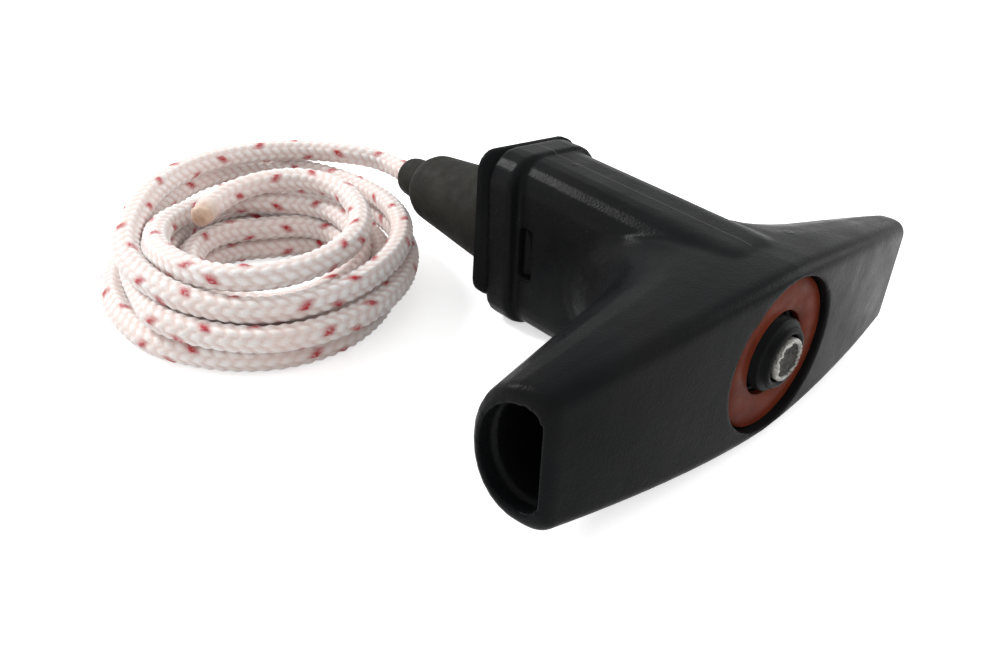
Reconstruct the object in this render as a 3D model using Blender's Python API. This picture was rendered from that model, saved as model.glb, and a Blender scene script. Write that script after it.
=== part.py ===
import bpy
import bmesh
import math
from mathutils import Vector

# Recoil starter handle: a moulded T grip with a sprung rope anchor, a rear guide,
# a rubber bend boot and about a metre of starter rope.
# X runs along the cross bar, Y from the front face back along the stem, Z up.
# The origin is on the surface that the handle lies on, under the stem's flat underside.
# All sizes are in metres.

# Clearances
seat_gap = 0.0003
slide_gap = 0.0003

# Where the handle stands over the origin
origin_behind_front = 0.030
axis_height = 0.0152

# Rope
rope_diameter = 0.0045
rope_radius = rope_diameter / 2
rope_bore_radius = rope_radius + slide_gap

# Stem and the bore along it
stem_half_width = 0.0088
stem_corner_radius = 0.0054
stem_top_at_front = 0.0149
stem_top_rise = 0.048
stem_start = 0.0024
stem_full_at = 0.0105
stem_entry_top = 0.0016
stem_entry_side = 0.0014
stem_entry_bottom = 0.0022
bore_radius = 0.0071

# Collar at the rear of the stem
collar_start = 0.0508
collar_end = 0.0573
collar_half_width = 0.0108
collar_top = 0.0178
collar_corner_radius = 0.0058
collar_edge = 0.0009

# Cross bar
bar_half_length = 0.0459
bar_end_half_height = 0.0102
bar_height_power = 1.45
bar_sweep = 0.0034
bar_sweep_power = 1.8
bar_end_depth = 0.0112
bar_back_slope = 0.33
bar_web_radius = 0.012
bar_end_rake = 0.24
bar_rake_power = 3
bar_front_edge_radius = 0.0023
bar_end_edge_radius = 0.0016
bar_back_power = 2.1
bar_flat_share = 0.30

# Hollows in the bar's ends
hollow_length = 0.028
hollow_front_wall = 0.0015
hollow_back_wall = 0.0017
hollow_side_wall = 0.0026
hollow_lip_depth = 0.0024
hollow_lip_step = 0.0007
hollow_taper = 0.0010

# Recess in the front and the disc in it
window_radius = 0.0131
window_depth = 0.0032
disc_thickness = 0.0014
disc_hole_radius = 0.0071
disc_edge = 0.0003

# Anchor plug
plug_head_radius = 0.0061
plug_face_radius = 0.0051
plug_proud = 0.0005
plug_step = 0.0011
lip_thickness = 0.0012
lip_hole_radius = plug_head_radius + slide_gap
plug_flange_radius = bore_radius - slide_gap
plug_flange_length = 0.0065
plug_pilot_length = 0.0040
plug_travel = 0.008

# Melted end of the rope in the plug
rope_head_radius = 0.0036
rope_head_proud = 0.0009
rope_head_length = 0.0030
rope_head_dish = 0.0012

# Damper spring
spring_wire = 0.0013
spring_outer_radius = 0.0065
spring_turns = 9

# Socket at the rear of the stem, the guide in it and its snap windows
socket_half_width = 0.0066
socket_half_height = 0.0130
socket_corner_radius = 0.0030
guide_front = 0.0454
guide_plate_thickness = 0.0020
guide_plate_half_width = 0.0122
guide_plate_top_half_width = 0.0112
guide_plate_top = 0.0173
guide_plate_bottom = -0.0106
guide_plate_corner = 0.0036
guide_pilot_length = 0.0040
spigot_radius = 0.0040
spigot_length = 0.0130
spigot_bead = 0.0008
spigot_bead_width = 0.0020
snap_window_start = 0.0472
snap_window_length = 0.0032
snap_window_height = 0.0095
snap_window_centre = 0.0010
snap_hook_depth = 0.0016

# Rubber bend boot
boot_base_radius = 0.0092
boot_waist_radius = 0.0073
boot_waist_from_end = 0.0107
boot_shoulder_length = 0.0042
boot_neck_radius = 0.0046
boot_mouth_radius = 0.0042
boot_length = 0.0354
boot_edge = 0.0005

# Rope coil on the surface beside the boot
coil_centre = (-0.0365, 0.0645)
coil_half_long = 0.0382
coil_half_short = 0.027
coil_turned = 26
coil_band = 0.013
coil_height = 0.0198
coil_edge = 0.0035

# The lead from the boot to the coil. Points are metres from the boot's mouth, height over
# the surface last
lead_route = [
    (0.0000, 0.0000, 0.0152),
    (0.0000, 0.0090, 0.0152),
    (0.0000, 0.0180, 0.0151),
    (0.0000, 0.0263, 0.0149),
    (-0.0012, 0.0309, 0.0147),
    (-0.0046, 0.0342, 0.0144),
    (-0.0091, 0.0354, 0.0141),
    (-0.0137, 0.0342, 0.0138),
    (-0.0164, 0.0318, 0.0136),
]

# Fineness
round_segments = 48
corner_segments = 5
back_segments = 14

# Places worked out from the sizes above, measured back from the front face
bar_mid_half_height = stem_top_at_front
pilot_radius = spring_outer_radius - spring_wire - slide_gap
disc_back = window_depth - seat_gap
disc_radius = window_radius - seat_gap
lip_back = window_depth + lip_thickness
flange_front = lip_back + seat_gap
flange_back = flange_front + plug_flange_length
spring_front = flange_back + seat_gap
spring_back = guide_front - seat_gap
guide_plate_front = collar_end + seat_gap
guide_plate_back = guide_plate_front + guide_plate_thickness
spigot_end = guide_plate_back + spigot_length
boot_start = guide_plate_back + seat_gap
boot_end = boot_start + boot_length
rope_core_end = boot_end - seat_gap / 2

handle_place = Vector((0.0, -origin_behind_front, axis_height))


def clear_scene():
    for obj in list(bpy.data.objects):
        bpy.data.objects.remove(obj, do_unlink=True)


def plain_material(name, colour, roughness):
    material = bpy.data.materials.new(name)
    material.use_nodes = True
    shader = material.node_tree.nodes["Principled BSDF"]
    shader.inputs["Base Color"].default_value = (*colour, 1.0)
    shader.inputs["Roughness"].default_value = roughness
    material.diffuse_color = (*colour, 1.0)
    return material


def add_piece(name, bm, material=None, place=handle_place, smooth_angle=35):
    bmesh.ops.recalc_face_normals(bm, faces=bm.faces)
    mesh = bpy.data.meshes.new(name)
    bm.to_mesh(mesh)
    bm.free()
    mesh.shade_smooth()
    mesh.set_sharp_from_angle(angle=math.radians(smooth_angle))
    if material:
        mesh.materials.append(material)
    obj = bpy.data.objects.new(name, mesh)
    obj.location = place
    bpy.context.collection.objects.link(obj)
    return obj


def loft(rings):
    """Closed mesh through rings of equal point count, with both ends capped."""
    bm = bmesh.new()
    made = [[bm.verts.new(point) for point in ring] for ring in rings]
    count = len(made[0])
    for first, second in zip(made, made[1:]):
        for i in range(count):
            j = (i + 1) % count
            bm.faces.new((first[i], first[j], second[j], second[i]))
    bm.faces.new(made[0])
    bm.faces.new(made[-1])
    return bm


def turned(profile, closed=False, segments=round_segments):
    """Mesh turned about Y from (y, radius) points. A closed profile makes a tube."""
    bm = bmesh.new()
    rings = []
    for y, radius in profile:
        if radius < 1e-7:
            rings.append([bm.verts.new((0.0, y, 0.0))])
            continue
        ring = []
        for k in range(segments):
            angle = 2 * math.pi * k / segments
            ring.append(bm.verts.new((radius * math.cos(angle), y, radius * math.sin(angle))))
        rings.append(ring)
    pairs = list(zip(rings, rings[1:]))
    if closed:
        pairs.append((rings[-1], rings[0]))
    for first, second in pairs:
        for k in range(segments):
            n = (k + 1) % segments
            if len(first) == 1:
                bm.faces.new((first[0], second[k], second[n]))
            elif len(second) == 1:
                bm.faces.new((first[k], second[0], first[n]))
            else:
                bm.faces.new((first[k], second[k], second[n], first[n]))
    return bm


def combine(target, other, operation):
    """Boolean of one piece with another, which then only guides the shape."""
    modifier = target.modifiers.new(operation.lower(), "BOOLEAN")
    modifier.operation = operation
    modifier.solver = "EXACT"
    modifier.object = other
    other.hide_render = True
    other.display_type = "WIRE"


def arc(centre, radius, start, end, steps):
    """Points on an arc, angles in degrees."""
    points = []
    for k in range(steps + 1):
        angle = math.radians(start + (end - start) * k / steps)
        points.append((centre[0] + radius * math.cos(angle), centre[1] + radius * math.sin(angle)))
    return points


def rounded_rectangle(half_width, low, high, radius):
    """Outline in X and Z, counter-clockwise from the lower right."""
    right = half_width - radius
    points = arc((right, low + radius), radius, -90, 0, corner_segments)
    points += arc((right, high - radius), radius, 0, 90, corner_segments)
    points += arc((-right, high - radius), radius, 90, 180, corner_segments)
    points += arc((-right, low + radius), radius, 180, 270, corner_segments)
    return points


def at_depth(outline, y):
    return [(x, y, z) for x, z in outline]


def ease(share):
    share = min(max(share, 0.0), 1.0)
    return share * share * (3 - 2 * share)


def bar_share(x):
    return min(abs(x) / bar_half_length, 1.0)


def bar_half_height(x):
    drop = bar_mid_half_height - bar_end_half_height
    return bar_mid_half_height - drop * bar_share(x) ** bar_height_power


def bar_front(x):
    return bar_sweep * bar_share(x) ** bar_sweep_power


def bar_back(x):
    """Back line of the bar in plan, with the round web that joins it to the stem."""
    out = max(abs(x), stem_half_width)
    back = bar_sweep + bar_end_depth + bar_back_slope * (bar_half_length - out)
    into_web = stem_half_width + bar_web_radius - out
    if into_web > 0:
        back += bar_web_radius - math.sqrt(bar_web_radius ** 2 - into_web ** 2)
    return back


def bar_section(x, front_in=0.0, back_in=0.0, side_in=0.0, out=None):
    """D outline of the bar at x, with a flat front, rounded edges and a bowed back.

    Towards the ends the section leans out at the back. It can be placed further out than x.
    """
    front = bar_front(x) + front_in
    back = bar_back(x) - back_in
    half = bar_half_height(x) - side_in
    radius = bar_front_edge_radius
    bow_from = front + bar_flat_share * (back - front)
    outline = arc((front + radius, -half + radius), radius, 270, 180, corner_segments)
    outline += arc((front + radius, half - radius), radius, 180, 90, corner_segments)
    for k in range(back_segments + 1):
        angle = math.pi / 2 - math.pi * k / back_segments
        along = abs(math.cos(angle)) ** (2 / bar_back_power)
        up = math.copysign(abs(math.sin(angle)) ** (2 / bar_back_power), math.sin(angle))
        outline.append((bow_from + (back - bow_from) * along, half * up))
    rake = math.copysign(bar_end_rake * bar_share(x) ** bar_rake_power, x)
    place = x if out is None else out
    return [(place + rake * (y - bar_front(x)), y, z) for y, z in outline]


def bar_stations():
    """Places along half of the bar, closer together on the web and the end's edge."""
    stations = [(0.0, 0.0), (stem_half_width * 0.5, 0.0)]
    web_steps = 8
    for k in range(web_steps + 1):
        angle = math.pi / 2 * k / web_steps
        stations.append((stem_half_width + bar_web_radius * (1 - math.cos(angle)), 0.0))
    web_end = stem_half_width + bar_web_radius
    straight_end = bar_half_length - bar_end_edge_radius
    straight_steps = 7
    for k in range(1, straight_steps):
        stations.append((web_end + (straight_end - web_end) * k / straight_steps, 0.0))
    edge_steps = 4
    for k in range(edge_steps + 1):
        angle = math.pi / 2 * k / edge_steps
        out = straight_end + bar_end_edge_radius * math.sin(angle)
        stations.append((out, bar_end_edge_radius * (1 - math.cos(angle))))
    return stations


def make_bar(material):
    half = bar_stations()
    both = [(-x, inset) for x, inset in reversed(half[1:])] + half
    rings = [bar_section(x, inset, inset, inset) for x, inset in both]
    return add_piece("grip_body", loft(rings), material)


def make_stem():
    """Stem and collar as one loft back along Y. Its underside is flat to lie on."""
    rings = []
    entry_steps = 6
    for k in range(entry_steps + 1):
        y = stem_start + (stem_full_at - stem_start) * k / entry_steps
        grow = ease(k / entry_steps)
        top = stem_top_at_front + stem_top_rise * y - (1 - grow) * stem_entry_top
        low = -(axis_height - (1 - grow) * stem_entry_bottom)
        half = stem_half_width - (1 - grow) * stem_entry_side
        rings.append(at_depth(rounded_rectangle(half, low, top, stem_corner_radius), y))
    for y in (0.024, 0.038, collar_start):
        top = stem_top_at_front + stem_top_rise * y
        outline = rounded_rectangle(stem_half_width, -axis_height, top, stem_corner_radius)
        rings.append(at_depth(outline, y))
    edge_steps = 3
    for k in range(edge_steps + 1):
        angle = math.pi / 2 * k / edge_steps
        inset = collar_edge * (1 - math.sin(angle))
        y = collar_start + 0.0002 + collar_edge * (1 - math.cos(angle))
        rings.append(at_depth(collar_outline(inset), y))
    for k in range(edge_steps + 1):
        angle = math.pi / 2 * k / edge_steps
        inset = collar_edge * (1 - math.cos(angle))
        y = collar_end - collar_edge * (1 - math.sin(angle))
        rings.append(at_depth(collar_outline(inset), y))
    return add_piece("stem_form", loft(rings))


def collar_outline(inset):
    return rounded_rectangle(collar_half_width - inset, -axis_height, collar_top - inset,
                             collar_corner_radius)


def make_hollow(side):
    """D pocket in one end of the bar, with a small lip just inside its mouth."""
    mouth = bar_half_length
    plan = [
        (mouth + 0.002, 0.0, mouth),
        (mouth - hollow_lip_depth, 0.0, mouth - hollow_lip_depth),
        (mouth - hollow_lip_depth - 0.0002, hollow_lip_step, mouth - hollow_lip_depth),
        (mouth - hollow_length, hollow_lip_step + hollow_taper, mouth - hollow_length),
    ]
    rings = []
    for out, inset, section_at in plan:
        rings.append(bar_section(side * section_at, hollow_front_wall + inset,
                                 hollow_back_wall + inset, hollow_side_wall + inset, side * out))
    return add_piece("hollow_form_" + ("near" if side < 0 else "far"), loft(rings))


def make_grip(material):
    grip = make_bar(material)
    combine(grip, make_stem(), "UNION")
    for side in (-1, 1):
        combine(grip, make_hollow(side), "DIFFERENCE")
    window = turned([(-0.004, 0), (-0.004, window_radius), (window_depth, window_radius),
                     (window_depth, 0)], segments=64)
    combine(grip, add_piece("window_form", window), "DIFFERENCE")
    lip = turned([(window_depth - 0.001, 0), (window_depth - 0.001, lip_hole_radius),
                  (lip_back + 0.001, lip_hole_radius), (lip_back + 0.001, 0)])
    combine(grip, add_piece("lip_form", lip), "DIFFERENCE")
    bore = turned([(lip_back, 0), (lip_back, bore_radius), (guide_front + 0.001, bore_radius),
                   (guide_front + 0.001, 0)])
    combine(grip, add_piece("bore_form", bore), "DIFFERENCE")
    socket_outline = rounded_rectangle(socket_half_width, -socket_half_height, socket_half_height,
                                       socket_corner_radius)
    socket = loft([at_depth(socket_outline, guide_front - seat_gap),
                   at_depth(socket_outline, collar_end + 0.003)])
    combine(grip, add_piece("socket_form", socket), "DIFFERENCE")
    combine(grip, make_snap_window_form(), "DIFFERENCE")
    return grip


def block(low, high):
    bm = bmesh.new()
    bmesh.ops.create_cube(bm, size=1.0)
    size = [b - a for a, b in zip(low, high)]
    middle = [(a + b) / 2 for a, b in zip(low, high)]
    bmesh.ops.scale(bm, vec=size, verts=bm.verts)
    bmesh.ops.translate(bm, vec=middle, verts=bm.verts)
    return bm


def make_snap_window_form():
    """One bar through both walls of the collar leaves a window in each."""
    reach = collar_half_width + 0.003
    half = snap_window_height / 2
    return add_piece("snap_window_form", block(
        (-reach, snap_window_start, snap_window_centre - half),
        (reach, snap_window_start + snap_window_length, snap_window_centre + half)))


def make_disc(material):
    edge = disc_edge
    front = disc_back - disc_thickness
    profile = [
        (front + edge, disc_hole_radius),
        (front, disc_hole_radius + edge),
        (front, disc_radius - edge),
        (front + edge, disc_radius),
        (disc_back, disc_radius),
        (disc_back, disc_hole_radius),
    ]
    return add_piece("cover_disc", turned(profile, closed=True, segments=64), material)


def make_plug(material):
    """Turned button: stepped face, head through the lip, flange and pilot for the spring."""
    face = -plug_proud
    pocket_radius = rope_head_radius + slide_gap
    pocket_floor = face + rope_head_length + 0.0006
    profile = [
        (face + 0.0004, pocket_radius),
        (face, pocket_radius + 0.0003),
        (face, plug_face_radius - 0.0003),
        (face + 0.0003, plug_face_radius),
        (face + plug_step, plug_face_radius + 0.0001),
        (face + plug_step, plug_head_radius - 0.0003),
        (face + plug_step + 0.0003, plug_head_radius),
        (flange_front, plug_head_radius),
        (flange_front, plug_flange_radius),
        (flange_back, plug_flange_radius),
        (flange_back, pilot_radius),
        (flange_back + plug_pilot_length - 0.0006, pilot_radius),
        (flange_back + plug_pilot_length, pilot_radius - 0.0006),
        (flange_back + plug_pilot_length, rope_bore_radius),
        (pocket_floor + 0.0012, rope_bore_radius),
        (pocket_floor, pocket_radius),
    ]
    return add_piece("anchor_plug", turned(profile, closed=True), material)


def make_rope_core(material):
    """The rope inside the handle, from its flared melted end to the boot's mouth."""
    face = -plug_proud - rope_head_proud
    profile = [
        (face + rope_head_dish, 0),
        (face + rope_head_dish, rope_head_radius * 0.45),
        (face + rope_head_dish * 0.3, rope_head_radius * 0.72),
        (face, rope_head_radius * 0.86),
        (face + 0.0004, rope_head_radius),
        (face + rope_head_length * 0.55, rope_head_radius * 0.98),
        (face + rope_head_length, rope_head_radius * 0.85),
        (face + rope_head_length + 0.0015, rope_radius),
        (rope_core_end, rope_radius),
        (rope_core_end, 0),
    ]
    return add_piece("rope_core", turned(profile, segments=24), material)


def make_spring(material):
    """Round wire wound about Y, with closed end turns that seat flat."""
    wire = spring_wire / 2
    mean = spring_outer_radius - wire
    steps_per_turn = 20
    sides = 8
    total = spring_turns * steps_per_turn
    free = spring_back - spring_front - 2 * wire
    end_turn = steps_per_turn
    rings = []
    for k in range(total + 1):
        angle = 2 * math.pi * k / steps_per_turn
        inner = min(max((k - end_turn) / (total - 2 * end_turn), 0.0), 1.0)
        closed = 1.08 * spring_wire
        start = closed * min(k / end_turn, 1.0)
        finish = closed * max((k - total + end_turn) / end_turn, 0.0)
        y = spring_front + wire + start + finish + (free - 2 * closed) * inner
        outward = Vector((math.cos(angle), 0, math.sin(angle)))
        centre = outward * mean + Vector((0, y, 0))
        ring = []
        for s in range(sides):
            turn = 2 * math.pi * s / sides
            ring.append(centre + outward * wire * math.cos(turn)
                        + Vector((0, wire * math.sin(turn), 0)))
        rings.append(ring)
    return add_piece("damper_spring", loft(rings), material)


def make_guide(material):
    """Rear plate with a block in the socket, a pilot for the spring and a spigot for the boot."""
    inner_width = socket_half_width - seat_gap
    inner_height = socket_half_height - seat_gap
    inner = rounded_rectangle(inner_width, -inner_height, inner_height, socket_corner_radius)
    edge = 0.0004

    def plate(inset):
        low, high = guide_plate_bottom + inset, guide_plate_top - inset
        outline = rounded_rectangle(guide_plate_half_width - inset, low, high, guide_plate_corner)
        narrower = 1 - guide_plate_top_half_width / guide_plate_half_width
        return [(x * (1 - narrower * (z - low) / (high - low)), z) for x, z in outline]

    guide = add_piece("rear_guide", loft([
        at_depth(inner, guide_front),
        at_depth(inner, guide_plate_front - 0.0001),
        at_depth(plate(0), guide_plate_front),
        at_depth(plate(0), guide_plate_back - edge),
        at_depth(plate(edge), guide_plate_back),
    ]), material)
    hook_half = snap_window_height / 2 - seat_gap
    hook_start = snap_window_start + seat_gap
    hook_end = snap_window_start + snap_window_length - seat_gap
    for side in (-1, 1):
        reach = side * (inner_width + snap_hook_depth)
        root = side * (inner_width - 0.001)
        low, high = snap_window_centre - hook_half, snap_window_centre + hook_half
        hook = loft([
            [(root, hook_start, z), (side * (inner_width + 0.0003), hook_start, z),
             (reach, hook_end - 0.0006, z), (reach, hook_end, z), (root, hook_end, z)]
            for z in (low, high)])
        combine(guide, add_piece("hook_form_" + ("near" if side < 0 else "far"), hook), "UNION")
    bead_end = spigot_end - 0.0012
    bead_start = bead_end - spigot_bead_width
    shaft = turned([
        (guide_front - guide_pilot_length, 0),
        (guide_front - guide_pilot_length, pilot_radius - 0.0006),
        (guide_front - guide_pilot_length + 0.0006, pilot_radius),
        (guide_front + 0.001, pilot_radius),
        (guide_front + 0.002, spigot_radius),
        (bead_start, spigot_radius),
        (bead_start, spigot_radius + spigot_bead),
        (bead_end, spigot_radius + spigot_bead * 0.3),
        (spigot_end, spigot_radius - 0.0003),
        (spigot_end, 0),
    ])
    combine(guide, add_piece("spigot_form", shaft), "UNION")
    passage = turned([
        (guide_front - guide_pilot_length - 0.002, 0),
        (guide_front - guide_pilot_length - 0.002, rope_bore_radius),
        (spigot_end + 0.002, rope_bore_radius),
        (spigot_end + 0.002, 0),
    ])
    combine(guide, add_piece("passage_form", passage), "DIFFERENCE")
    return guide


def make_boot(material):
    """Rubber cone with a narrow neck, pushed over the guide's beaded spigot."""
    edge = boot_edge
    bead_end = spigot_end - 0.0012
    bead_start = bead_end - spigot_bead_width
    inner = spigot_radius + slide_gap
    groove = inner + spigot_bead
    waist = boot_end - boot_waist_from_end
    neck = waist + boot_shoulder_length
    profile = [
        (boot_start, inner),
        (boot_start, boot_base_radius - edge),
        (boot_start + edge, boot_base_radius),
        (boot_start + 0.30 * (waist - boot_start), boot_base_radius * 0.985),
        (boot_start + 0.65 * (waist - boot_start),
         boot_waist_radius + 0.45 * (boot_base_radius - boot_waist_radius)),
        (waist, boot_waist_radius),
    ]
    shoulder_steps = 4
    for k in range(1, shoulder_steps + 1):
        turn = math.pi / 2 * k / shoulder_steps
        across = boot_neck_radius + (boot_waist_radius - boot_neck_radius) * math.cos(turn)
        profile.append((waist + boot_shoulder_length * math.sin(turn) * 0.9, across))
    profile += [
        (neck + 0.0004, boot_neck_radius),
        (boot_end - 2 * edge, boot_mouth_radius),
        (boot_end - 0.4 * edge, boot_mouth_radius - 0.4 * edge),
        (boot_end, boot_mouth_radius - 1.2 * edge),
        (boot_end, rope_bore_radius + 0.6 * edge),
        (boot_end - 0.6 * edge, rope_bore_radius),
        (spigot_end + seat_gap, rope_bore_radius),
        (spigot_end + seat_gap, inner),
        (bead_end + seat_gap, inner),
        (bead_end + seat_gap, groove),
        (bead_start - seat_gap, groove),
        (bead_start - seat_gap, inner),
    ]
    return add_piece("bend_boot", turned(profile, closed=True, segments=40), material)


def smooth_route(points, spacing):
    """Points evenly along a smooth curve through the given ones."""
    route = [Vector(p) for p in points]
    ends = [2 * route[0] - route[1]] + route + [2 * route[-1] - route[-2]]
    fine = []
    for k in range(1, len(ends) - 2):
        a, b, c, d = ends[k - 1:k + 3]
        for step in range(24):
            t = step / 24
            fine.append(0.5 * ((2 * b) + (c - a) * t + (2 * a - 5 * b + 4 * c - d) * t ** 2
                               + (3 * b - a - 3 * c + d) * t ** 3))
    fine.append(route[-1])
    length = sum((q - p).length for p, q in zip(fine, fine[1:]))
    count = max(2, round(length / spacing))
    picked = [fine[0]]
    walked = 0.0
    for p, q in zip(fine, fine[1:]):
        walked += (q - p).length
        if walked >= len(picked) * length / count - 1e-9 and len(picked) < count:
            picked.append(q)
    picked.append(fine[-1])
    return picked


def make_lead(material):
    """The free rope between the boot's mouth and the coil."""
    start = Vector((0, boot_end - origin_behind_front + seat_gap / 2, 0))
    points = smooth_route([start + Vector(p) for p in lead_route], 2 * rope_diameter / 2)
    curve = bpy.data.curves.new("rope_lead", "CURVE")
    curve.dimensions = "3D"
    curve.bevel_depth = rope_radius
    curve.bevel_resolution = 2
    curve.use_fill_caps = True
    spline = curve.splines.new("POLY")
    spline.points.add(len(points) - 1)
    for point, place in zip(spline.points, points):
        point.co = (*place, 1.0)
    curve.materials.append(material)
    lead = bpy.data.objects.new("rope_lead", curve)
    bpy.context.collection.objects.link(lead)
    return lead


def make_coil(material):
    """Outer form of the coiled rope: an oval ring that lies on the surface."""
    around = 48
    edge = coil_edge
    tilt = math.radians(coil_turned)
    section = [
        (0, edge), (edge * 0.3, edge * 0.3), (edge, 0),
        (coil_band - edge, 0), (coil_band - edge * 0.3, edge * 0.3), (coil_band, edge),
        (coil_band, coil_height - edge), (coil_band - edge * 0.3, coil_height - edge * 0.3),
        (coil_band - edge, coil_height), (edge, coil_height),
        (edge * 0.3, coil_height - edge * 0.3), (0, coil_height - edge),
    ]
    bm = bmesh.new()
    rings = []
    for k in range(around):
        angle = 2 * math.pi * k / around
        ring = []
        for inward, up in section:
            across = (coil_half_short - inward) * math.cos(angle)
            along = (coil_half_long - inward) * math.sin(angle)
            x = coil_centre[0] + across * math.cos(tilt) + along * math.sin(tilt)
            y = coil_centre[1] - across * math.sin(tilt) + along * math.cos(tilt)
            ring.append(bm.verts.new((x, y, up)))
        rings.append(ring)
    count = len(section)
    for k in range(around):
        first, second = rings[k], rings[(k + 1) % around]
        for i in range(count):
            j = (i + 1) % count
            bm.faces.new((first[i], first[j], second[j], second[i]))
    return add_piece("rope_coil", bm, material, place=Vector((0, 0, 0)))


def build():
    clear_scene()
    black = plain_material("moulded_black", (0.022, 0.023, 0.025), 0.5)
    plug_black = plain_material("plug_black", (0.018, 0.018, 0.02), 0.4)
    orange = plain_material("disc_orange", (0.72, 0.13, 0.05), 0.45)
    rubber = plain_material("boot_rubber", (0.06, 0.063, 0.064), 0.7)
    braid = plain_material("rope_braid", (0.85, 0.82, 0.8), 0.6)
    steel = plain_material("spring_steel", (0.5, 0.5, 0.5), 0.35)
    make_grip(black)
    make_disc(orange)
    make_plug(plug_black)
    make_rope_core(braid)
    make_spring(steel)
    make_guide(black)
    make_boot(rubber)
    make_lead(braid)
    make_coil(braid)


build()
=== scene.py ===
import math
import bpy
import mathutils
import numpy as np
from mathutils import Matrix, Vector


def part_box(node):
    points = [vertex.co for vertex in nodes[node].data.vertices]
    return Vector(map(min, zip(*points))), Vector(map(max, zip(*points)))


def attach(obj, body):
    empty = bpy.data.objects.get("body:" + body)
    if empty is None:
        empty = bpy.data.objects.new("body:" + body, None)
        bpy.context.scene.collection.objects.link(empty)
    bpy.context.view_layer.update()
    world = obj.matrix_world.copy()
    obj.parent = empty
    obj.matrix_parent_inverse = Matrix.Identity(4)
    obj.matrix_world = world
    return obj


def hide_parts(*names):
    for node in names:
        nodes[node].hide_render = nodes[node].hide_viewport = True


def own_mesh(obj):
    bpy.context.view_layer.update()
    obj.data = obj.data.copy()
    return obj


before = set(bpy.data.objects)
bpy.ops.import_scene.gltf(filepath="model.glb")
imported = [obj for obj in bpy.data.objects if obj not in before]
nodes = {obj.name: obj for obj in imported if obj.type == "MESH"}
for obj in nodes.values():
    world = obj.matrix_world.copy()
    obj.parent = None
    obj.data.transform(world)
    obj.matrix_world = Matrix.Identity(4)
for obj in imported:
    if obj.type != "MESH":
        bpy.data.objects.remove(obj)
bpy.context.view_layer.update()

print("frame loaded")


# The camera and the rope come first, then the materials, the other pieces, the floor and lights.

cameraView = {
    "place": (-0.0963, -0.0746, 0.0742),   # metres, in the part's own frame
    "turned": 49.84,                       # degrees from +Y towards +X
    "down": 29.68,                         # degrees below the horizon
    "roll": 6.37,
    "lens": 28.08,                         # mm on a 36 mm sensor
    "shiftX": -0.1,                        # the photo is a crop that isn't centred
}


def makeCamera():
    turned = math.radians(cameraView["turned"])
    down = math.radians(cameraView["down"])
    roll = math.radians(cameraView["roll"])
    ahead = Vector((math.sin(turned) * math.cos(down), math.cos(turned) * math.cos(down),
                    -math.sin(down)))
    right = ahead.cross(Vector((0, 0, 1))).normalized()
    up = right.cross(ahead)
    rightRolled = right * math.cos(roll) + up * math.sin(roll)
    upRolled = up * math.cos(roll) - right * math.sin(roll)
    facing = Matrix((rightRolled, upRolled, -ahead)).transposed()
    data = bpy.data.cameras.new("photoCamera")
    data.sensor_width = 36
    data.lens = cameraView["lens"]
    data.shift_x = cameraView["shiftX"]
    data.clip_start = 0.005
    data.clip_end = 10
    camera = bpy.data.objects.new("photoCamera", data)
    camera.matrix_world = Matrix.Translation(cameraView["place"]) @ facing.to_4x4()
    bpy.context.scene.collection.objects.link(camera)
    bpy.context.scene.camera = camera


makeCamera()
print("camera made")


# Rope: out of the boot, round the coil from the outside in, and up to its melted end.

ropeSizes = {
    "thickness": 0.0045,
    "step": 0.002,                  # between the points of its line
    "bendRadius": 0.0103,
    "plaitPitch": 0.00208,          # one V of the braid
    "plaitColumns": 8,
    "plaitDepth": 0.00030,
    "columnDepth": 0.00018,
    "plaitLean": 0.30,
    "plaitFlatness": 0.7,
    "columnRoundness": 0.85,
    "fullness": 0.00012,            # the crowns of the plaits stand this far out
    "fleckEvery": 13,               # one plait in so many is red
    "aroundPerColumn": 3,
    "alongStep": 0.00034,
    "smoothPasses": 6,
    "meltedLength": 0.0065,
    "meltedLoss": 0.00045,          # the melted end is this much thinner all round
    "meltedLumps": 0.00012,
    "lumpsAround": 3,
    "lumpsAlong": 2100,             # radians in a metre
    "domeLength": 0.0012,           # rounding of the very end
}

# out of the boot, nearly straight, in metres
leadRoute = [
    (0.0000, 0.0653, 0.0152),
    (0.0000, 0.0713, 0.0154),
    (-0.0002, 0.0773, 0.0159),
]

coilPlace = {
    "centre": (-0.0340, 0.0640),
    "halfLong": 0.038,
    "halfShort": 0.028,
    "turned": 26,                   # degrees, long way of the oval from +Y towards +X
    "firstTurn": 0.13,              # counted from the oval's right side as seen from above
    "lastTurn": 8.52,
    "pointsPerTurn": 30,
    "wander": 0.022,                # how far a turn strays from its oval, as a share
    "heave": 0.0005,                # and up and down, in metres
}

settling = {
    "passes": 600,
    "heldPoints": 3,                # the first ones, in the boot's mouth, stay where they are
    "stiffness": 0.16,
    "pullHome": 0.012,
    "pullEven": 0.4,
    "pushApart": 0.65,
    "easeBends": 0.5,
    "clearance": 1.004,             # turns lie this share of a thickness apart
    "sag": 4e-6,                    # metres in each pass
}

# each turn's share of the oval at its right, back, left and front, outside turns first
coilReach = [
    (1.17, 0.86, 0.81, 0.84),
    (0.89, 0.93, 0.83, 0.92),
    (0.90, 0.93, 0.95, 0.88),
    (0.74, 0.70, 0.66, 0.78),
    (0.74, 0.66, 0.66, 0.78),
    (0.58, 0.26, 0.50, 0.62),
    (0.56, 0.23, 0.50, 0.66),
    (0.56, 0.36, 0.66, 0.80),
    (0.56, 0.36, 0.42, 0.42),
]

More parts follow.
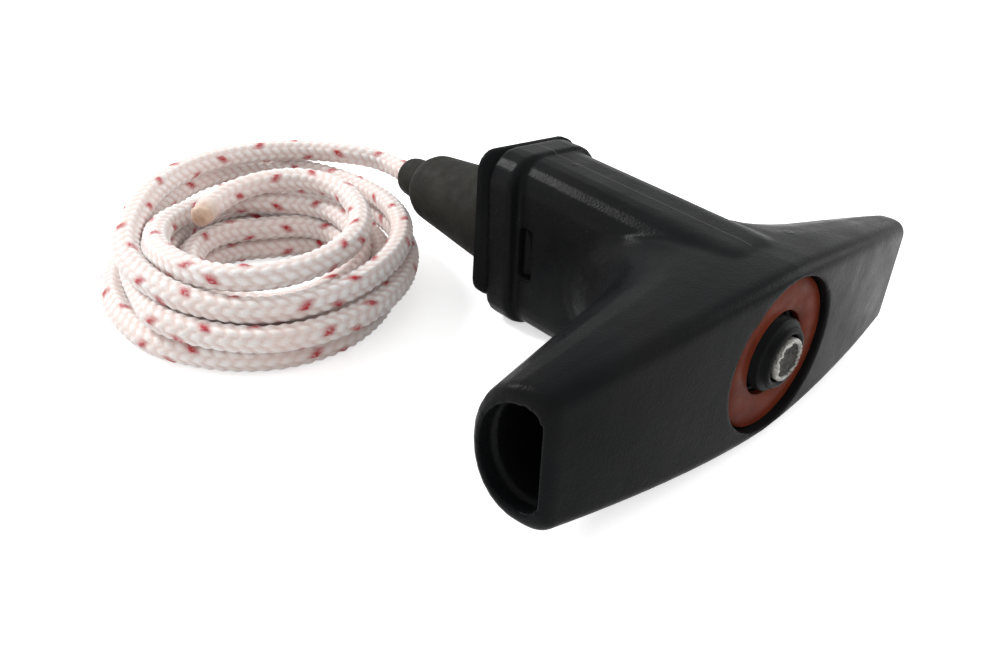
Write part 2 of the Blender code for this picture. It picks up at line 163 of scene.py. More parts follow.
# height of the rope's middle over the surface at the same places, in mm
coilHeight = [
    (17.0, 16.6, 12.9, 10.6),
    (12.0, 11.6, 8.4, 6.6),
    (7.2, 6.2, 2.6, 2.3),
    (2.3, 2.3, 4.2, 5.4),
    (6.2, 6.4, 6.0, 4.6),
    (2.6, 2.3, 2.3, 2.5),
    (5.8, 6.4, 6.5, 7.1),
    (10.0, 10.6, 12.6, 14.9),
    (16.2, 15.7, 13.8, 11.4),
]


def smoothLine(points, step):
    # evenly spaced points on a smooth curve through the given ones
    points = np.array(points, float)
    ends = np.vstack([2 * points[0] - points[1], points, 2 * points[-1] - points[-2]])
    line = []
    for i in range(1, len(ends) - 2):
        before, first, second, after = ends[i - 1:i + 3]
        for share in np.linspace(0, 1, 12, endpoint=False):
            line.append(0.5 * (2 * first + (second - before) * share
                               + (2 * before - 5 * first + 4 * second - after) * share ** 2
                               + (3 * first - before - 3 * second + after) * share ** 3))
    line.append(ends[-2])
    line = np.array(line)
    along = np.r_[0, np.cumsum(np.linalg.norm(np.diff(line, axis=0), axis=1))]
    places = np.linspace(0, along[-1], int(round(along[-1] / step)) + 1)
    return np.stack([np.interp(places, along, line[:, k]) for k in range(3)], 1)


def coilPoints():
    turned = math.radians(coilPlace["turned"])
    longWay = np.array((math.sin(turned), math.cos(turned))) * coilPlace["halfLong"]
    shortWay = np.array((math.cos(turned), -math.sin(turned))) * coilPlace["halfShort"]
    quarters = np.arange(len(coilReach) * 4) / 4
    reaches = np.array(coilReach).ravel()
    heights = np.array(coilHeight).ravel() / 1000
    points = []
    between = 1 / coilPlace["pointsPerTurn"]
    for turn in np.arange(coilPlace["firstTurn"], coilPlace["lastTurn"], between):
        angle = math.tau * turn
        reach = np.interp(turn, quarters, reaches)
        # two waves out of step with the turns, so that each turn strays in its own way
        stray = math.sin(1.62 * angle + 1.0) + 0.8 * math.sin(2.71 * angle + 4.0)
        reach = reach * (1 + coilPlace["wander"] * stray * min(turn / 1.5, 1))
        heave = coilPlace["heave"] * math.sin(2.2 * angle + 2.0)
        flat = coilPlace["centre"] + reach * (shortWay * math.cos(angle) + longWay * math.sin(angle))
        points.append((flat[0], flat[1], np.interp(turn, quarters, heights) + heave))
    return points


def settle(line):
    # lets the turns push each other apart to one thickness, lie on the floor and bend no tighter
    # than the rope does, while each stays near its place
    thickness = ropeSizes["thickness"]
    step = ropeSizes["step"]
    held = settling["heldPoints"]
    distanceApart = thickness * settling["clearance"]
    wanted = line.copy()
    order = np.arange(len(line))
    apart = int(math.ceil(math.pi * 0.75 * thickness / step)) + 1
    neighbours = np.abs(order[:, None] - order[None]) <= apart
    sharpest = step ** 2 / 2 / ropeSizes["bendRadius"]
    for settlingPass in range(settling["passes"]):
        middle = (line[:-2] + line[2:]) / 2 - line[1:-1]
        stiff = np.zeros_like(line)
        stiff[2:-2] = -(middle[:-2] - 2 * middle[1:-1] + middle[2:])
        home = settling["pullHome"] * (wanted - line)
        line[held:] += settling["stiffness"] * stiff[held:] + home[held:]
        for repeat in range(2):
            span = line[1:] - line[:-1]
            size = np.linalg.norm(span, axis=1, keepdims=True)
            pull = (size - step) / size * span * settling["pullEven"]
            line[:-1] += pull * (order[:-1] >= held)[:, None]
            line[1:] -= pull * (order[1:] >= held)[:, None]
        away = line[:, None] - line[None]
        distance = np.sqrt((away ** 2).sum(2)) + 1e-9
        touching = (distance < distanceApart) & ~neighbours
        push = np.where(touching, (distanceApart - distance) / distance * settling["pushApart"], 0)
        move = (away * push[..., None]).sum(1) / np.maximum(touching.sum(1), 1)[:, None]
        line[held:] += move[held:]
        offset = (line[:-2] + line[2:]) / 2 - line[1:-1]
        bent = np.linalg.norm(offset, axis=1)
        tooSharp = np.maximum(bent - sharpest, 0) / np.maximum(bent, 1e-9)
        ease = offset * (tooSharp * settling["easeBends"])[:, None]
        line[1:-1][held - 1:] += ease[held - 1:]
        line[held:, 2] = np.maximum(line[held:, 2] - settling["sag"], thickness / 2)
    return line


def ropeLine():
    return settle(smoothLine(leadRoute + coilPoints(), ropeSizes["step"]))


def framesAlong(line):
    # two steady directions across the rope at each point of its line
    ahead = np.gradient(line, axis=0)
    ahead /= np.linalg.norm(ahead, axis=1, keepdims=True)
    side = np.cross(ahead[0], (0, 0, 1.0))
    sides = []
    for direction in ahead:
        side = side - direction * side.dot(direction)
        side = side / np.linalg.norm(side)
        sides.append(side)
    sides = np.array(sides)
    return sides, np.cross(ahead, sides)


def plaitShape(along, around):
    # height of the braid, 0 to 1, with V rows that meet and dive under each other
    columns = ropeSizes["plaitColumns"]
    place = around / math.tau * columns
    column = np.floor(place)
    across = (place - column) * 2 - 1
    lean = np.where(column % 2 == 0, 1.0, -1.0)
    slant = lean * across * ropeSizes["plaitLean"]
    cycle = along / ropeSizes["plaitPitch"] - slant + (column % 2) * 0.5
    bulge = 0.5 + 0.5 * np.cos(math.tau * cycle)
    crown = np.sqrt(np.maximum(1 - ropeSizes["columnRoundness"] * across ** 2, 0))
    height = bulge ** ropeSizes["plaitFlatness"] * crown
    return height, crown, column, np.floor(cycle + 0.5)


def fleckOf(column, cell, height):
    # the red tracer yarn, in a steady but uneven order
    order = np.mod(cell * 5 + column * 7, ropeSizes["fleckEvery"])
    return (order < 0.5) * (0.25 + 0.75 * np.minimum(height * 1.6, 1))


def addNumbers(mesh, name, values):
    # a number at each point of the mesh, for its material to read
    numbers = mesh.attributes.new(name, "FLOAT", "POINT")
    numbers.data.foreach_set("value", np.ravel(values))


def makeRope():
    line = ropeLine()
    reach = np.r_[0, np.cumsum(np.linalg.norm(np.diff(line, axis=0), axis=1))]
    length = reach[-1]
    count = int(length / ropeSizes["alongStep"])
    around = ropeSizes["plaitColumns"] * ropeSizes["aroundPerColumn"]
    places = np.linspace(0, length, count + 1)
    centre = np.stack([np.interp(places, reach, line[:, k]) for k in range(3)], 1)
    for smoothing in range(ropeSizes["smoothPasses"]):
        centre[1:-1] = (centre[:-2] + 2 * centre[1:-1] + centre[2:]) / 4
    sides, ups = framesAlong(centre)
    angles = math.tau * np.arange(around) / around
    along, turn = np.meshgrid(places, angles, indexing="ij")
    height, crown, column, cell = plaitShape(along, turn + 1e-6)
    melt = np.clip((along - (length - ropeSizes["meltedLength"])) / ropeSizes["meltedLength"], 0, 1)
    soft = melt ** 0.5
    lumpWave = np.sin(turn * ropeSizes["lumpsAround"] + along * ropeSizes["lumpsAlong"])
    lumps = ropeSizes["meltedLumps"] * lumpWave * soft
    radius = ropeSizes["thickness"] / 2 + ropeSizes["fullness"]
    dip = ropeSizes["plaitDepth"] * (1 - height) + ropeSizes["columnDepth"] * (1 - crown)
    radius = radius - dip * (1 - soft) - ropeSizes["meltedLoss"] * soft + lumps
    endDome = np.clip((along - (length - ropeSizes["domeLength"])) / ropeSizes["domeLength"], 0, 1)
    radius = radius * np.sqrt(np.maximum(1 - endDome ** 2 * 0.9, 0.02))
    points = (centre[:, None] + radius[..., None] * (np.cos(turn)[..., None] * sides[:, None]
                                                     + np.sin(turn)[..., None] * ups[:, None]))
    points = points.reshape(-1, 3)
    rings = np.arange(count)[:, None] * around
    first = np.arange(around)[None]
    second = (first + 1) % around
    quads = np.stack([rings + first, rings + second, rings + around + second,
                      rings + around + first], 2).reshape(-1, 4)
    faces = [tuple(q) for q in quads.tolist()]
    faces.append(tuple(range(around - 1, -1, -1)))
    faces.append(tuple(range(count * around, (count + 1) * around)))
    mesh = bpy.data.meshes.new("starterRope")
    mesh.from_pydata(points.tolist(), [], faces)
    mesh.shade_smooth()
    addNumbers(mesh, "fleck", fleckOf(column, cell, height) * (1 - soft))
    # the depth into the braid, which the material turns into painted shade in the hollows between
    # the plaits
    addNumbers(mesh, "paintedHollowShade", (1 - height * (0.6 + 0.4 * crown)) * (1 - soft))
    addNumbers(mesh, "melted", melt)
    # the map runs along the rope in plaits and once round it, and closes at its seam
    uv = mesh.uv_layers.new(name="ropeMap")
    ring = np.array([loop.vertex_index for loop in mesh.loops]) // around
    spot = np.array([loop.vertex_index for loop in mesh.loops]) % around
    seam = np.zeros(len(ring), bool)
    starts = np.arange(count * around) * 4
    wrap = (np.arange(count * around) % around) == around - 1
    for corner in (1, 2):
        seam[starts[wrap] + corner] = True
    u = places[np.minimum(ring, count)] / ropeSizes["plaitPitch"]
    v = (spot + np.where(seam, around, 0)) / around
    uv.data.foreach_set("uv", np.stack([u, v], 1).ravel())
    rope = bpy.data.objects.new("starterRope", mesh)
    bpy.context.scene.collection.objects.link(rope)
    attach(rope, "plunger")
    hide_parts("rope_lead", "rope_coil")
    path = line[::2].tolist()
    if len(line) % 2 == 0:
        path.append(line[-1].tolist())
    print("rope made, metres:", round(float(length), 3))
    return rope


rope = makeRope()


# Materials. Colours are linear. Patterns read Object coordinates, in metres, but for the yarn of
# the braid, which reads the rope's own map.

def newMaterial(name, roughness, specular=0.5):
    material = bpy.data.materials.new(name)
    material.use_nodes = True
    shader = material.node_tree.nodes["Principled BSDF"]
    shader.inputs["Roughness"].default_value = roughness
    shader.inputs["Specular IOR Level"].default_value = specular
    return material, material.node_tree, shader


def addNode(tree, kind, values=None, **settings):
    node = tree.nodes.new(kind)
    for key, value in settings.items():
        setattr(node, key, value)
    for key, value in (values or {}).items():
        node.inputs[key].default_value = value
    return node


def noise(tree, vector, scale, detail=3, roughness=0.5):
    node = addNode(tree, "ShaderNodeTexNoise",
                   {"Scale": scale, "Detail": detail, "Roughness": roughness})
    tree.links.new(vector, node.inputs["Vector"])
    return node.outputs["Fac"]


def ramp(tree, factor, stops):
    node = addNode(tree, "ShaderNodeValToRGB")
    elements = node.color_ramp.elements
    while len(elements) < len(stops):
        elements.new(0.5)
    for element, (place, colour) in zip(elements, stops):
        element.position = place
        element.color = (*colour, 1)
    tree.links.new(factor, node.inputs["Fac"])
    return node.outputs["Color"]


def grey(value):
    return (value, value, value)


def sums(tree, operation, first, second, third=None):
    node = addNode(tree, "ShaderNodeMath", operation=operation)
    for k, value in enumerate((first, second, third)):
        if value is None:
            continue
        if isinstance(value, (int, float)):
            node.inputs[k].default_value = value
        else:
            tree.links.new(value, node.inputs[k])
    return node.outputs["Value"]


def mix(tree, factor, first, second, blend="MIX"):
    node = addNode(tree, "ShaderNodeMix", data_type="RGBA", blend_type=blend)
    for name, value in (("Factor", factor), ("A", first), ("B", second)):
        socket = [s for s in node.inputs if s.name == name and s.enabled][0]
        if isinstance(value, (int, float)):
            socket.default_value = value
        elif isinstance(value, tuple):
            socket.default_value = (*value, 1)
        else:
            tree.links.new(value, socket)
    return [s for s in node.outputs if s.enabled][0]


def bump(tree, height, distance, strength=1.0, under=None):
    node = addNode(tree, "ShaderNodeBump", {"Strength": strength, "Distance": distance})
    tree.links.new(height, node.inputs["Height"])
    if under is not None:
        tree.links.new(under, node.inputs["Normal"])
    return node.outputs["Normal"]


def objectPlace(tree):
    return addNode(tree, "ShaderNodeTexCoord").outputs["Object"]


def attribute(tree, name):
    return addNode(tree, "ShaderNodeAttribute", attribute_name=name).outputs["Fac"]


def axis(tree, place):
    node = addNode(tree, "ShaderNodeSeparateXYZ")
    tree.links.new(place, node.inputs["Vector"])
    return node.outputs


def patchyGloss(tree, shader, pattern, low, high):
    rough = ramp(tree, pattern, [(0.3, grey(low)), (0.7, grey(high))])
    tree.links.new(rough, shader.inputs["Roughness"])


nylonLook = {
    "dark": (0.0056, 0.0060, 0.0066),
    "pale": (0.0100, 0.0104, 0.0110),
    "warm": (0.0110, 0.0094, 0.0076),
    "speck": (0.11, 0.11, 0.108),
    # painted highlight along the parting line, and the colour of a pale scuff
    "scuffAndHighlight": (0.10, 0.10, 0.095),  # where the marks catch the light
    "specular": 0.035,
    "grain": 2600,                  # fine moulded grain, per metre
    "grainDepth": 0.00006,
}


def near(tree, place, spot, full, none):
    # 1 within the first distance from the spot, 0 past the second
    node = addNode(tree, "ShaderNodeVectorMath", operation="DISTANCE")
    tree.links.new(place, node.inputs[0])
    node.inputs[1].default_value = spot
    share = addNode(tree, "ShaderNodeMapRange", {"From Min": none, "From Max": full})
    tree.links.new(node.outputs["Value"], share.inputs["Value"])
    return share.outputs["Result"]


# in metres, on the finished part; a reach is how far a mark is full, and where it has faded out
moulding = {
    "partingX": -0.0003,
    "partingHalfWidth": 0.00013,
    "partingOver": 0.0268,          # only on the top of the stem
    "partingBehind": -0.021,
    "nub": (-0.0010, 0.0156, 0.0325),
    "nubReach": (0.0004, 0.0007),
    "sinkMark": (0.0120, -0.0201, 0.0287),
    "sinkReach": (0.0009, 0.0013),
    "sinkFloorReach": (0.0004, 0.0008),
    "scuff": (0.0132, -0.0252, 0.0278),
    "scuffReach": (0.0002, 0.0006),
    "relief": 0.00012,
}


def mouldMarks(tree, place):
    # the parting line along the top of the stem, a nub on it and a sink mark in the bar
    parts = axis(tree, place)
    beside = sums(tree, "ABSOLUTE", sums(tree, "ADD", parts["X"], -moulding["partingX"]), 0)
    line = sums(tree, "MULTIPLY", sums(tree, "LESS_THAN", beside, moulding["partingHalfWidth"]),
                sums(tree, "GREATER_THAN", parts["Z"], moulding["partingOver"]))
    line = sums(tree, "MULTIPLY", line,
                sums(tree, "GREATER_THAN", parts["Y"], moulding["partingBehind"]))
    nub = near(tree, place, moulding["nub"], *moulding["nubReach"])
    outer = near(tree, place, moulding["sinkMark"], *moulding["sinkReach"])
    inner = near(tree, place, moulding["sinkMark"], *moulding["sinkFloorReach"])
    sink = sums(tree, "SUBTRACT", outer, inner)
    scuff = near(tree, place, moulding["scuff"], *moulding["scuffReach"])
    # painted highlight along the parting line, and a pale scuff on the bar
    pale = sums(tree, "MULTIPLY_ADD", line, 0.35, sums(tree, "MULTIPLY", scuff, 0.8))
    height = sums(tree, "ADD", sums(tree, "ADD", line, nub), sums(tree, "MULTIPLY", sink, 0.8))
    return pale, height


def mouldedNylon(name, warmth=0.5, roughLow=0.24, roughHigh=0.37, marked=False):
    material, tree, shader = newMaterial(name, 0.5, nylonLook["specular"])
    place = objectPlace(tree)
    cloud = noise(tree, place, 60, 4)
    tone = ramp(tree, cloud, [(0.35, nylonLook["dark"]), (0.65, nylonLook["pale"])])
    warmCloud = noise(tree, place, 34, 2)
    warmShare = ramp(tree, warmCloud, [(0.5, grey(0)), (0.72, grey(warmth))])
    tone = mix(tree, warmShare, tone, nylonLook["warm"])
    grain = noise(tree, place, nylonLook["grain"], 2)
    speckle = noise(tree, place, 1500, 1)
    specks = ramp(tree, speckle, [(0.80, grey(0)), (0.86, grey(0.6))])
    tone = mix(tree, specks, tone, nylonLook["speck"])
    wave = bump(tree, noise(tree, place, 130, 3), 0.0004, 0.35)
    if marked:
        pale, height = mouldMarks(tree, place)
        # painted highlight on the parting line, and the pale scuff
        tone = mix(tree, pale, tone, nylonLook["scuffAndHighlight"])
        wave = bump(tree, height, moulding["relief"], 0.7, wave)
    tree.links.new(tone, shader.inputs["Base Color"])
    patchyGloss(tree, shader, noise(tree, place, 180, 4), roughLow, roughHigh)
    fine = bump(tree, grain, nylonLook["grainDepth"], 0.8, wave)
    tree.links.new(fine, shader.inputs["Normal"])
    return material


discLook = {
    "deep": (0.080, 0.012, 0.0045),
    "bright": (0.130, 0.022, 0.0080),
    "dirt": (0.06, 0.012, 0.008),
    "specular": 0.05,
}


def discPlastic():
    material, tree, shader = newMaterial("discPlastic", 0.42, discLook["specular"])
    place = objectPlace(tree)
    tone = ramp(tree, noise(tree, place, 220, 4),
                [(0.3, discLook["deep"]), (0.7, discLook["bright"])])
    dirt = ramp(tree, noise(tree, place, 900, 3), [(0.62, grey(0)), (0.80, grey(0.35))])
    tone = mix(tree, dirt, tone, discLook["dirt"])
    tree.links.new(tone, shader.inputs["Base Color"])
    patchyGloss(tree, shader, noise(tree, place, 500, 3), 0.34, 0.50)
    grain = bump(tree, noise(tree, place, 2400, 2), 0.00003, 0.6)
    tree.links.new(grain, shader.inputs["Normal"])
    return material


bootLook = {
    "dark": (0.0125, 0.0120, 0.0100),
    "pale": (0.020, 0.0195, 0.016),
    "dust": (0.09, 0.09, 0.08),
    "specular": 0.15,
}


def bootRubber():
    material, tree, shader = newMaterial("bootRubber", 0.75, bootLook["specular"])
    place = objectPlace(tree)
    tone = ramp(tree, noise(tree, place, 160, 5, 0.6),
                [(0.30, bootLook["dark"]), (0.70, bootLook["pale"])])
    dust = ramp(tree, noise(tree, place, 1300, 2), [(0.70, grey(0)), (0.84, grey(0.5))])
    tone = mix(tree, dust, tone, bootLook["dust"])
    tree.links.new(tone, shader.inputs["Base Color"])
    patchyGloss(tree, shader, noise(tree, place, 400, 3), 0.66, 0.84)
    wave = bump(tree, noise(tree, place, 300, 4), 0.00025, 0.5)
    grain = bump(tree, noise(tree, place, 2800, 2), 0.00006, 0.7, wave)
    tree.links.new(grain, shader.inputs["Normal"])
    return material


def springSteel():
    material, tree, shader = newMaterial("springSteel", 0.3)
    shader.inputs["Metallic"].default_value = 1.0
    place = objectPlace(tree)
    tone = ramp(tree, noise(tree, place, 500, 4), [(0.3, grey(0.42)), (0.7, grey(0.60))])
    tree.links.new(tone, shader.inputs["Base Color"])
    patchyGloss(tree, shader, noise(tree, place, 900, 3), 0.24, 0.42)
    return material


braidLook = {
    "crown": (0.89, 0.875, 0.865),
    "flank": (0.84, 0.785, 0.76),
    # painted shade in the hollows between the plaits, pinkish
    "paintedHollowShade": (0.71, 0.58, 0.54),
    "stain": (0.84, 0.63, 0.57),
    "red": (0.42, 0.012, 0.024),
    "meltDark": (0.42, 0.22, 0.12),
    "meltPale": (0.62, 0.42, 0.28),
    "specular": 0.35,
    "sheen": 0.25,
}


def braidedNylon():
    material, tree, shader = newMaterial("braidedNylon", 0.62, braidLook["specular"])
    shader.inputs["Sheen Weight"].default_value = braidLook["sheen"]
    shader.inputs["Sheen Roughness"].default_value = 0.5
    paintedHollowShade = attribute(tree, "paintedHollowShade")
    fleck = attribute(tree, "fleck")
    melted = attribute(tree, "melted")
    ropeMap = addNode(tree, "ShaderNodeUVMap", uv_map="ropeMap").outputs["UV"]
    stretch = addNode(tree, "ShaderNodeMapping", {"Scale": (1.0, 9.0, 1.0)})
    tree.links.new(ropeMap, stretch.inputs["Vector"])
    place = objectPlace(tree)
    yarn = noise(tree, stretch.outputs["Vector"], 5.0, 3, 0.6)
    # palest on the crowns of the plaits, with painted shade on their flanks and darker painted shade
    # down in the hollows
    tone = ramp(tree, paintedHollowShade, [(0.18, braidLook["crown"]), (0.55, braidLook["flank"]),
                               (0.95, braidLook["paintedHollowShade"])])
    yarnShade = ramp(tree, yarn, [(0.35, grey(0.88)), (0.62, grey(1.0))])
    tone = mix(tree, 0.8, tone, yarnShade, "MULTIPLY")
    stain = ramp(tree, noise(tree, place, 55, 3), [(0.38, grey(0)), (0.66, grey(0.42))])
    tone = mix(tree, stain, tone, braidLook["stain"])
    edge = noise(tree, place, 1800, 3)
    torn = ramp(tree, edge, [(0.28, grey(0.55)), (0.48, grey(1.0))])
    redShare = sums(tree, "MULTIPLY", fleck, torn)
    tone = mix(tree, redShare, tone, braidLook["red"])
    meltTone = ramp(tree, noise(tree, place, 700, 4),
                    [(0.3, braidLook["meltDark"]), (0.7, braidLook["meltPale"])])
    meltShare = sums(tree, "MULTIPLY", sums(tree, "POWER", melted, 0.6), 0.9)
    tone = mix(tree, meltShare, tone, meltTone)
    tree.links.new(tone, shader.inputs["Base Color"])
    filaments = bump(tree, yarn, 0.00010, 0.6)
    tree.links.new(filaments, shader.inputs["Normal"])
    rough = sums(tree, "MULTIPLY_ADD", melted, -0.3, 0.66)
    tree.links.new(rough, shader.inputs["Roughness"])
    return material


frayedLook = {
    "charDark": (0.012, 0.012, 0.011),
    "char": (0.060, 0.058, 0.052),
    "charPale": (0.17, 0.165, 0.15),
    "rimDark": (0.16, 0.15, 0.135),
    "rim": (0.62, 0.60, 0.56),
    "rimPale": (0.82, 0.80, 0.76),
    "cleanDark": (0.76, 0.69, 0.66),
    "cleanPale": (0.88, 0.85, 0.83),
    "specular": 0.3,
}


def frayedNylon():
    material, tree, shader = newMaterial("frayedNylon", 0.7, frayedLook["specular"])
    place = objectPlace(tree)
    rim = attribute(tree, "rim")
    fibres = noise(tree, place, 2600, 4, 0.7)
    dusk = ramp(tree, fibres, [(0.35, frayedLook["charDark"]), (0.60, frayedLook["char"]),
                               (0.78, frayedLook["charPale"])])
    pale = ramp(tree, fibres, [(0.30, frayedLook["rimDark"]), (0.52, frayedLook["rim"]),
                               (0.72, frayedLook["rimPale"])])
    share = ramp(tree, rim, [(0.25, grey(0)), (0.70, grey(1))])
    tone = mix(tree, share, dusk, pale)
    clean = ramp(tree, fibres, [(0.3, frayedLook["cleanDark"]), (0.7, frayedLook["cleanPale"])])
    tone = mix(tree, sums(tree, "GREATER_THAN", rim, 1.5), tone, clean)
    tree.links.new(tone, shader.inputs["Base Color"])
    tree.links.new(bump(tree, fibres, 0.00025, 0.9), shader.inputs["Normal"])
    return material


# The moulded T.

gripLook = {
    "fineness": 0.00031,            # metres across its faces before they are thinned
    "mostTriangles": 188000,
    "edgeSoftening": 4,
    "webSoftening": 34,
    "webFrom": 0.006,               # metres behind the front face
    "webTo": 0.027,
    "webRise": 0.004,               # how fast the softening comes in behind the front
    "webFall": 0.006,               # and goes out towards the stem
    "webReach": 0.030,              # to each side of the middle
    "webFade": 0.008,
}


def nothingSelected():
    if bpy.context.object and bpy.context.object.mode != "OBJECT":
        bpy.ops.object.mode_set(mode="OBJECT")
    bpy.ops.object.select_all(action="DESELECT")


def pickOnly(piece):
    nothingSelected()
    piece.select_set(True)
    bpy.context.view_layer.objects.active = piece


def applyAll(piece):
    pickOnly(piece)
    for modifier in list(piece.modifiers):
        bpy.ops.object.modifier_apply(modifier=modifier.name)


def copyOfNode(node, name):
    piece = bpy.data.objects.new(name, nodes[node].data.copy())
    piece.data.materials.clear()
    bpy.context.scene.collection.objects.link(piece)
    pickOnly(piece)
    bpy.ops.object.mode_set(mode="EDIT")
    bpy.ops.mesh.select_all(action="SELECT")
    bpy.ops.mesh.remove_doubles(threshold=0.000002)
    bpy.ops.object.mode_set(mode="OBJECT")
    return piece


def makeGrip():
    grip = copyOfNode("grip_body", "gripBody")
    remesh = grip.modifiers.new("evenFaces", "REMESH")
    remesh.mode = "VOXEL"
    remesh.voxel_size = gripLook["fineness"]
    soften = grip.modifiers.new("softEdges", "SMOOTH")
    soften.factor = 0.5
    soften.iterations = gripLook["edgeSoftening"]
    applyAll(grip)
    # the web between the bar and the stem is softened more than the rest
    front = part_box("grip_body")[0].y
    web = grip.vertex_groups.new(name="web")
    for vertex in grip.data.vertices:
        behind = vertex.co.y - front
        rise = min(max((behind - gripLook["webFrom"]) / gripLook["webRise"], 0), 1)
        fall = min(max((gripLook["webTo"] - behind) / gripLook["webFall"], 0), 1)
        across = min(max((gripLook["webReach"] - abs(vertex.co.x)) / gripLook["webFade"], 0), 1)
        share = rise * fall * across
        if share > 0.01:
            web.add([vertex.index], share, "REPLACE")
    blend = grip.modifiers.new("web", "SMOOTH")
    blend.factor = 0.5
    blend.iterations = gripLook["webSoftening"]
    blend.vertex_group = "web"
    applyAll(grip)
    thin = grip.modifiers.new("fewerFaces", "DECIMATE")
    thin.ratio = min(1, gripLook["mostTriangles"] / (2 * len(grip.data.polygons)))
    applyAll(grip)
    grip.data.shade_smooth()
    grip.data.materials.append(mouldedNylon("gripNylon", marked=True))
    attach(grip, "handle")
    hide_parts("grip_body")
    print("grip made, faces:", len(grip.data.polygons))


makeGrip()


# The rear plate, plug, disc, boot and spring keep their CAD shape and are shaded smooth.

smoothLook = {
    "smoothUnder": 32,              # degrees
    "smoothUnderSpring": 60,
    "plungerTravel": 0.008,
}


def makeSmooth(node, name, body, material, smoothUnder=smoothLook["smoothUnder"]):
    piece = copyOfNode(node, name)
    bpy.ops.object.shade_smooth_by_angle(angle=math.radians(smoothUnder))
    piece.data.materials.append(material)
    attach(piece, body)
    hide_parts(node)
    print(name, "made")
    return piece


makeSmooth("rear_guide", "rearGuide", "handle",
           mouldedNylon("guideNylon", 0.2, 0.32, 0.44))
makeSmooth("anchor_plug", "anchorPlug", "plunger",
           mouldedNylon("plugNylon", 0.0, 0.30, 0.42))
makeSmooth("cover_disc", "coverDisc", "handle", discPlastic())
makeSmooth("bend_boot", "bendBoot", "handle", bootRubber())
spring = makeSmooth("damper_spring", "damperSpring", "handle", springSteel(),
                    smoothLook["smoothUnderSpring"])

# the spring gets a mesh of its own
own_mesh(spring)


# The rope's end in the plug: a melted head with a ragged pale rim, and the clean rope behind it.

headSizes = {
    "rimThickness": 0.00085,
    "rimProud": 0.0006,
    "rimRagged": 0.00055,
    "dishDepth": 0.0005,
    "headLength": 0.0045,
    "neckLength": 0.0015,
    "slack": 0.0001,                # smaller than the CAD rope by this, all round
    "around": 144,
    "fullestAt": 2.3,               # radians: the rim is full at the upper left, thin opposite
}


def makeRopeHead():
    sizes = headSizes
    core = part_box("rope_core")
    face, end = core[0].y, core[1].y
    middle = ((core[0].x + core[1].x) / 2, (core[0].z + core[1].z) / 2)
    rimRadius = (core[1].x - core[0].x) / 2 - sizes["slack"]
    inner = rimRadius - sizes["rimThickness"]
    crest = rimRadius - 0.5 * sizes["rimThickness"]
    narrow = ropeSizes["thickness"] / 2 - sizes["slack"]
    # along the rope, radius, share of rim (2 is the clean rope behind it), share of raggedness
    profile = [
        (face + 0.0008, 0.0002, 0.0, 0.1),
        (face + 0.0007, 0.5 * inner, 0.0, 0.4),
        (face + sizes["dishDepth"], inner, 0.2, 0.6),
        (face + 0.0001, crest - 0.00012, 0.9, 1.0),
        (face, crest + 0.00006, 1.0, 1.0),
        (face + 0.0002, rimRadius, 1.0, 0.9),
        (face + sizes["rimProud"], rimRadius - 0.0001, 0.6, 0.4),
        (face + 0.0011, rimRadius, 0.3, 0.1),
        (face + 0.6 * sizes["headLength"], rimRadius, 0.3, 0.0),
        (face + sizes["headLength"], 0.84 * rimRadius, 0.3, 0.0),
        (face + sizes["headLength"] + sizes["neckLength"], narrow, 2.0, 0.0),
        (end, narrow, 2.0, 0.0),
        (end, 0.0002, 0.3, 0.0),
    ]
    points, faces, rims = [], [], []
    around = sizes["around"]
    for row, (along, radius, rim, ragged) in enumerate(profile):
        for k in range(around):
            angle = math.tau * k / around
            spot = Vector((math.cos(angle), math.sin(angle), 0.15 * row))
            wild = mathutils.noise.noise(spot * 2.3) + 0.9 * mathutils.noise.noise(spot * 9.0)
            spike = max(mathutils.noise.noise(spot * 24.0), 0)
            out = radius + ragged * sizes["rimRagged"] * (0.45 * wild + 0.7 * spike)
            back = max(0.55 * ragged * sizes["rimRagged"] * (wild + 1.0), 0)
            points.append((middle[0] + out * math.cos(angle), along + back,
                           middle[1] + out * math.sin(angle)))
            fullness = 0.62 + 0.38 * math.cos(angle - sizes["fullestAt"])
            rims.append(rim if rim > 1.5 else rim * min(1.0, fullness + 0.35 + 0.4 * wild))
    for row in range(len(profile) - 1):
        for k in range(around):
            after = (k + 1) % around
            faces.append((row * around + k, (row + 1) * around + k,
                          (row + 1) * around + after, row * around + after))
    faces.append(tuple(range(around)))
    last = (len(profile) - 1) * around
    faces.append(tuple(reversed(range(last, last + around))))
    mesh = bpy.data.meshes.new("ropeHead")
    mesh.from_pydata(points, [], faces)
    addNumbers(mesh, "rim", rims)
    mesh.shade_smooth()
    head = bpy.data.objects.new("ropeHead", mesh)
    bpy.context.scene.collection.objects.link(head)
    mesh.materials.append(frayedNylon())
    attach(head, "plunger")
    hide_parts("rope_core")
    print("rope head made")


makeRopeHead()
rope.data.materials.append(braidedNylon())
print("materials made")


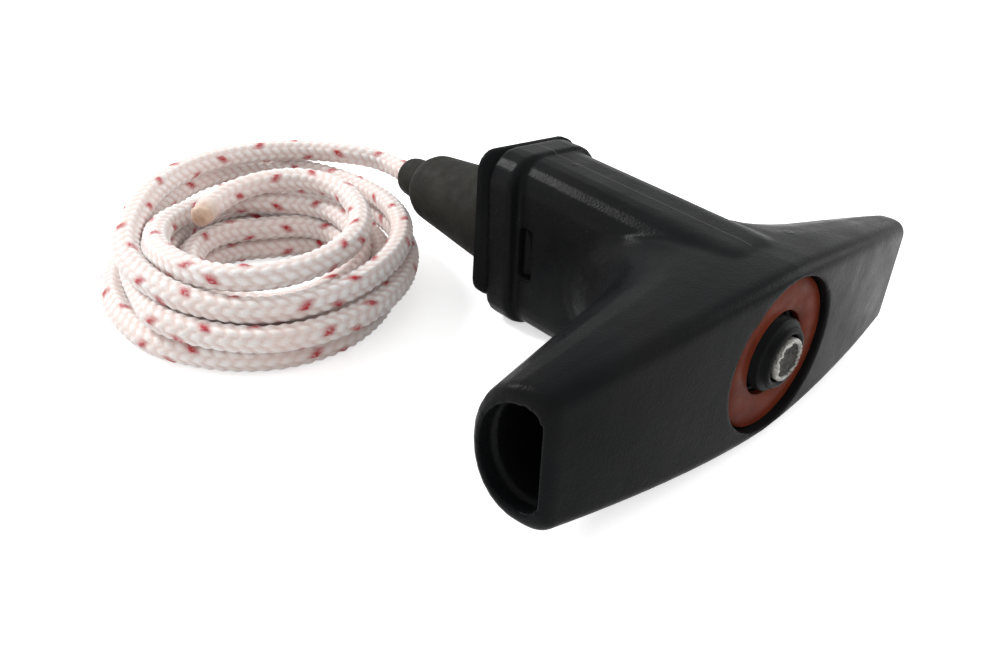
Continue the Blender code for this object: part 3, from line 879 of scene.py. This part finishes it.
stageLook = {
    "floorSize": 3.0,
    "floorDrop": 0.0002,
    "floorTone": (0.80, 0.80, 0.80, 1),
    "floorGlow": 0.60,              # only as the camera, shiny and clear things see it
    "ambient": 0.80,
    "aim": (-0.02, 0.02, 0.01),
    "keyPlace": (-0.27, 0.60, 0.54),
    "keySize": 0.22,
    "keyEnergy": 4.9,
    "rightPlace": (0.60, -0.30, 0.30),
    "rightSize": 0.4,
    "rightEnergy": 1.4,
}


def seenRays(tree):
    # 1 for what the camera, reflections and clear things see, 0 for the light on the object
    rays = addNode(tree, "ShaderNodeLightPath").outputs
    return sums(tree, "MAXIMUM", sums(tree, "MAXIMUM", rays["Is Camera Ray"], rays["Is Glossy Ray"]),
                rays["Is Transmission Ray"])


def makeFloor():
    nothingSelected()
    bpy.ops.mesh.primitive_plane_add(size=stageLook["floorSize"],
                                     location=(0, 0, -stageLook["floorDrop"]))
    floor = bpy.context.object
    floor.name = "floor"
    material, tree, shader = newMaterial("floorWhite", 0.9, 0.1)
    shader.inputs["Base Color"].default_value = stageLook["floorTone"]
    shader.inputs["Emission Color"].default_value = (1, 1, 1, 1)
    glow = sums(tree, "MULTIPLY", seenRays(tree), stageLook["floorGlow"])
    tree.links.new(glow, shader.inputs["Emission Strength"])
    floor.data.materials.append(material)


def makeWorld():
    world = bpy.data.worlds.new("studio")
    world.use_nodes = True
    tree = world.node_tree
    background = tree.nodes["Background"]
    strength = sums(tree, "MULTIPLY_ADD", seenRays(tree), 1.0 - stageLook["ambient"],
                    stageLook["ambient"])
    background.inputs["Color"].default_value = (1, 1, 1, 1)
    tree.links.new(strength, background.inputs["Strength"])
    bpy.context.scene.world = world


def makeLamp(name, place, size, energy):
    data = bpy.data.lights.new(name, "AREA")
    data.shape = "DISK"
    data.size = size
    data.energy = energy
    lamp = bpy.data.objects.new(name, data)
    lamp.location = place
    aim = Vector(stageLook["aim"]) - Vector(place)
    lamp.rotation_euler = aim.to_track_quat("-Z", "Y").to_euler()
    bpy.context.scene.collection.objects.link(lamp)


makeFloor()
makeWorld()
makeLamp("keyLamp", stageLook["keyPlace"], stageLook["keySize"], stageLook["keyEnergy"])
makeLamp("rightLamp", stageLook["rightPlace"], stageLook["rightSize"], stageLook["rightEnergy"])
bpy.context.scene.view_settings.view_transform = "Standard"
print("floor and lights made")
